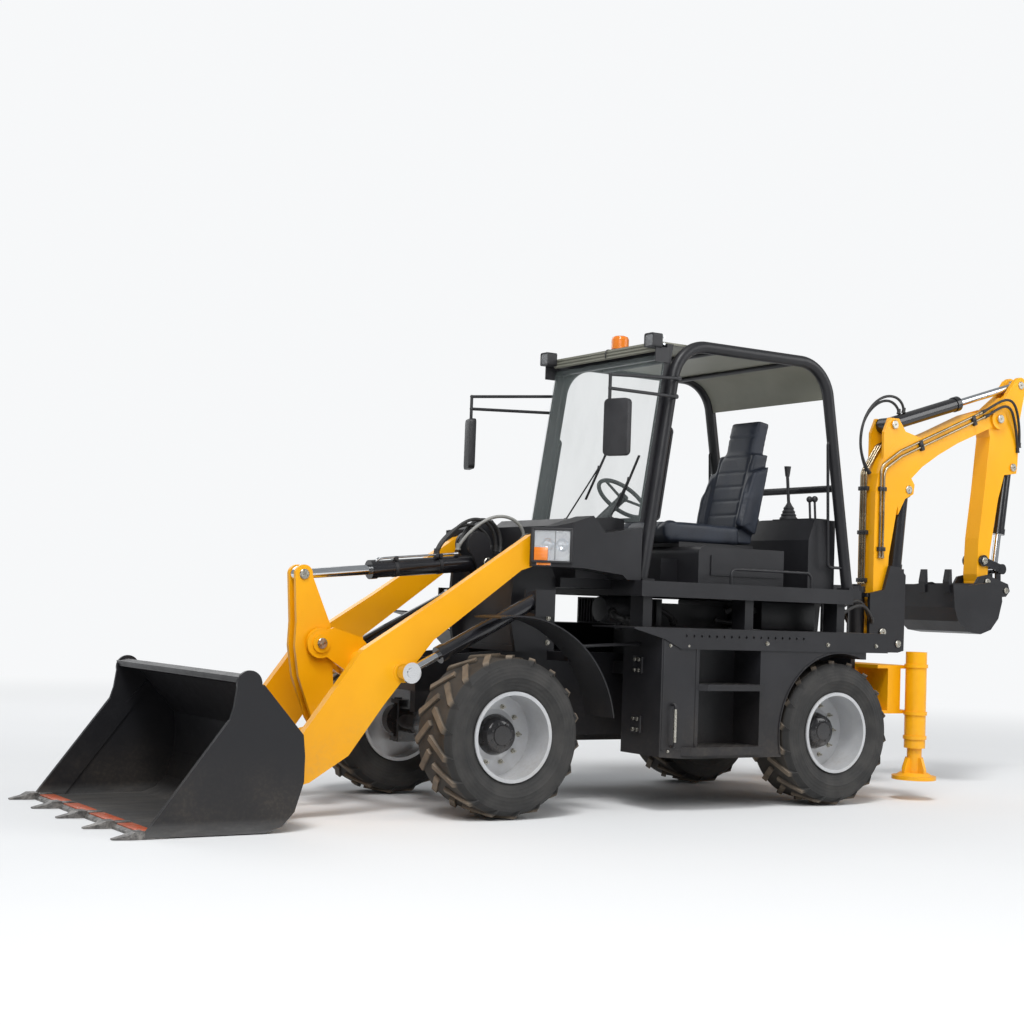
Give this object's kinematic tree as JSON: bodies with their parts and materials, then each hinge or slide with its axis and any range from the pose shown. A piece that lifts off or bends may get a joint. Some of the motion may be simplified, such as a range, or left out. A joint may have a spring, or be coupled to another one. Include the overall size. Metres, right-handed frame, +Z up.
{
  "type": "backhoe loader",
  "caption": "Wheeled backhoe loader: open canopy cab, front loader bucket on a bell crank linkage, swinging rear digging arm and stabilizer legs.",
  "frame": {"origin": "on the ground, in the middle of the overall length and width", "axes": "+X forward towards the loader bucket, +Y to the machine's left, +Z up"},
  "size_m": [7.554, 1.8972, 3.1538],
  "materials": {
    "yellow_paint": "satin",
    "dark_paint": "satin",
    "rim_paint": "satin",
    "roof_paint": "matte",
    "rubber_tread": "matte",
    "chrome_rod": "polished",
    "edge_steel": "worn",
    "clear_glass": "clear",
    "lamp_lens": "gloss",
    "amber_lens": "gloss",
    "black_plastic": "matte",
    "seat_cover": "satin"
  },
  "bodies": {
    "chassis": {"chassis_frame": "dark_paint", "loader_tower": "dark_paint", "swing_bracket": "dark_paint", "engine": "dark_paint", "front_axle": "dark_paint", "rear_axle": "dark_paint", "side_boxes": "dark_paint", "platform": "dark_paint", "fenders": "dark_paint", "cowl": "dark_paint", "headlamps": "lamp_lens", "canopy_frame": "dark_paint", "roof": "roof_paint", "windshield": "clear_glass", "mirrors": "black_plastic", "work_lamps": "black_plastic", "beacon": "amber_lens", "seat_box": "dark_paint", "seat_base": "black_plastic", "seat_cushion": "seat_cover", "seat_back": "seat_cover", "steering_wheel": "black_plastic", "rear_console": "dark_paint", "levers": "black_plastic", "stabilizer_beam": "yellow_paint"},
    "knuckle_left": {"knuckle_left": "dark_paint"},
    "knuckle_right": {"knuckle_right": "dark_paint"},
    "wheel_front_left": {"tyre_front_left": "rubber_tread", "rim_front_left": "rim_paint"},
    "wheel_front_right": {"tyre_front_right": "rubber_tread", "rim_front_right": "rim_paint"},
    "wheel_rear_left": {"tyre_rear_left": "rubber_tread", "rim_rear_left": "rim_paint"},
    "wheel_rear_right": {"tyre_rear_right": "rubber_tread", "rim_rear_right": "rim_paint"},
    "loader_arm": {"loader_arm": "yellow_paint"},
    "bell_crank": {"bell_crank": "yellow_paint"},
    "loader_link": {"loader_link": "yellow_paint"},
    "loader_bucket": {"loader_bucket": "dark_paint", "cutting_edge": "edge_steel"},
    "lift_barrels": {"lift_barrels": "dark_paint"},
    "lift_rods": {"lift_rods": "chrome_rod"},
    "tilt_barrel": {"tilt_barrel": "dark_paint"},
    "tilt_rod": {"tilt_rod": "chrome_rod"},
    "swing_post": {"swing_post": "dark_paint"},
    "boom": {"boom": "yellow_paint", "boom_pipes": "chrome_rod"},
    "boom_barrel": {"boom_barrel": "dark_paint"},
    "boom_rod": {"boom_rod": "chrome_rod"},
    "dipper": {"dipper": "yellow_paint"},
    "dipper_barrel": {"dipper_barrel": "dark_paint"},
    "dipper_rod": {"dipper_rod": "chrome_rod"},
    "rocker": {"rocker": "dark_paint"},
    "dig_link": {"dig_link": "dark_paint"},
    "dig_bucket": {"dig_bucket": "dark_paint"},
    "bucket_barrel": {"bucket_barrel": "dark_paint"},
    "bucket_rod": {"bucket_rod": "chrome_rod"},
    "leg_left": {"leg_left": "yellow_paint"},
    "leg_right": {"leg_right": "yellow_paint"}
  },
  "joints": [
    {"name": "steer_left", "type": "hinge", "parent": "chassis", "child": "knuckle_left", "pos_m": [1.408, 0.54, 0.475], "axis": [0, 0, 1], "range_deg": [-28, 28]},
    {"name": "steer_right", "type": "hinge", "parent": "chassis", "child": "knuckle_right", "pos_m": [1.408, -0.54, 0.475], "axis": [0, 0, 1], "range_deg": [-28, 28]},
    {"name": "wheel_front_left_spin", "type": "hinge", "parent": "knuckle_left", "child": "wheel_front_left", "pos_m": [1.408, 0.668, 0.475], "axis": [0, 1, 0], "continuous": true},
    {"name": "wheel_front_right_spin", "type": "hinge", "parent": "knuckle_right", "child": "wheel_front_right", "pos_m": [1.408, -0.668, 0.475], "axis": [0, 1, 0], "continuous": true},
    {"name": "wheel_rear_left_spin", "type": "hinge", "parent": "chassis", "child": "wheel_rear_left", "pos_m": [-1.102, 0.668, 0.475], "axis": [0, 1, 0], "continuous": true},
    {"name": "wheel_rear_right_spin", "type": "hinge", "parent": "chassis", "child": "wheel_rear_right", "pos_m": [-1.102, -0.668, 0.475], "axis": [0, 1, 0], "continuous": true},
    {"name": "lift", "type": "hinge", "parent": "chassis", "child": "loader_arm", "pos_m": [1.028, 0, 1.58], "axis": [0, -1, 0], "range_deg": [0, 86]},
    {"name": "bucket_tilt", "type": "hinge", "parent": "loader_arm", "child": "loader_bucket", "pos_m": [2.678, 0, 0.23], "axis": [0, 1, 0], "range_deg": [-35, 100]},
    {"name": "crank_turn", "type": "hinge", "parent": "loader_arm", "child": "bell_crank", "pos_m": [2.288, 0, 0.97], "axis": [0, -1, 0], "range_deg": [-10, 28]},
    {"name": "link_turn", "type": "hinge", "parent": "bell_crank", "child": "loader_link", "pos_m": [2.218, 0, 0.472], "axis": [0, 1, 0], "range_deg": [-14, 40]},
    {"name": "lift_barrel_turn", "type": "hinge", "parent": "chassis", "child": "lift_barrels", "pos_m": [1.068, 0, 1.273], "axis": [0, -1, 0], "range_deg": [-1, 87]},
    {"name": "lift_rod_slide", "type": "slide", "parent": "lift_barrels", "child": "lift_rods", "axis": [0.8893, 0, -0.4574], "range_m": [-0.01, 0.43]},
    {"name": "tilt_barrel_turn", "type": "hinge", "parent": "chassis", "child": "tilt_barrel", "pos_m": [1.158, 0, 1.49], "axis": [0, -1, 0], "range_deg": [-1, 91]},
    {"name": "tilt_rod_slide", "type": "slide", "parent": "tilt_barrel", "child": "tilt_rod", "axis": [-0.9953, 0, 0.0971], "range_m": [-0.07, 0.2]},
    {"name": "swing", "type": "hinge", "parent": "chassis", "child": "swing_post", "pos_m": [-2.072, 0, 1.2], "axis": [0, 0, 1], "range_deg": [-90, 90]},
    {"name": "boom_lower", "type": "hinge", "parent": "swing_post", "child": "boom", "pos_m": [-2.217, 0, 1.13], "axis": [0, -1, 0], "range_deg": [0, 72]},
    {"name": "boom_barrel_turn", "type": "hinge", "parent": "boom", "child": "boom_barrel", "pos_m": [-2.497, 0, 2.19], "axis": [0, -1, 0], "range_deg": [-1, 3]},
    {"name": "boom_rod_slide", "type": "slide", "parent": "boom_barrel", "child": "boom_rod", "axis": [-0.1004, 0, 0.995], "range_m": [-0.01, 0.215]},
    {"name": "dipper_out", "type": "hinge", "parent": "boom", "child": "dipper", "pos_m": [-3.442, 0, 2.8], "axis": [0, 1, 0], "range_deg": [-3, 100]},
    {"name": "dipper_barrel_turn", "type": "hinge", "parent": "boom", "child": "dipper_barrel", "pos_m": [-2.332, 0, 2.66], "axis": [0, 1, 0], "range_deg": [-1, 13]},
    {"name": "dipper_rod_slide", "type": "slide", "parent": "dipper_barrel", "child": "dipper_rod", "axis": [0.9543, 0, -0.2987], "range_m": [-0.02, 0.58]},
    {"name": "dig_tilt", "type": "hinge", "parent": "dipper", "child": "dig_bucket", "pos_m": [-3.317, 0, 1.535], "axis": [0, 1, 0], "range_deg": [-46, 60]},
    {"name": "rocker_turn", "type": "hinge", "parent": "dipper", "child": "rocker", "pos_m": [-3.312, 0, 1.7], "axis": [0, 1, 0], "range_deg": [-46, 60]},
    {"name": "dig_link_turn", "type": "hinge", "parent": "rocker", "child": "dig_link", "pos_m": [-3.52, 0, 1.644], "axis": [0, -1, 0], "range_deg": [-46, 60]},
    {"name": "bucket_barrel_turn", "type": "hinge", "parent": "dipper", "child": "bucket_barrel", "pos_m": [-3.632, 0, 2.44], "axis": [0, -1, 0], "range_deg": [-1, 1]},
    {"name": "bucket_rod_slide", "type": "slide", "parent": "bucket_barrel", "child": "bucket_rod", "axis": [-0.1393, 0, 0.9902], "range_m": [-0.155, 0.2]},
    {"name": "leg_left_slide", "type": "slide", "parent": "chassis", "child": "leg_left", "axis": [0, 0, -1], "range_m": [-0.05, 0.3]},
    {"name": "leg_right_slide", "type": "slide", "parent": "chassis", "child": "leg_right", "axis": [0, 0, -1], "range_m": [-0.05, 0.3]}
  ],
  "couplings": [
    {"joint": "steer_right", "follows": "steer_left", "ratio": 1},
    {"joint": "crank_turn", "follows": "bucket_tilt", "ratio": 0.2711},
    {"joint": "link_turn", "follows": "bucket_tilt", "ratio": 0.3924},
    {"joint": "lift_barrel_turn", "follows": "lift", "ratio": 0.9976},
    {"joint": "lift_rod_slide", "follows": "lift", "m_per_rad": 0.2827},
    {"joint": "tilt_barrel_turn", "follows": "lift", "ratio": 1.05},
    {"joint": "tilt_rod_slide", "follows": "bucket_tilt", "m_per_rad": 0.1113},
    {"joint": "boom_barrel_turn", "follows": "boom_lower", "ratio": 0.0291},
    {"joint": "boom_rod_slide", "follows": "boom_lower", "m_per_rad": 0.1684},
    {"joint": "dipper_barrel_turn", "follows": "dipper_out", "ratio": 0.1214},
    {"joint": "dipper_rod_slide", "follows": "dipper_out", "m_per_rad": 0.3283},
    {"joint": "rocker_turn", "follows": "dig_tilt", "ratio": 1},
    {"joint": "dig_link_turn", "follows": "dig_tilt", "ratio": 1},
    {"joint": "bucket_barrel_turn", "follows": "dig_tilt", "ratio": 0.01},
    {"joint": "bucket_rod_slide", "follows": "dig_tilt", "m_per_rad": 0.1868}
  ]
}
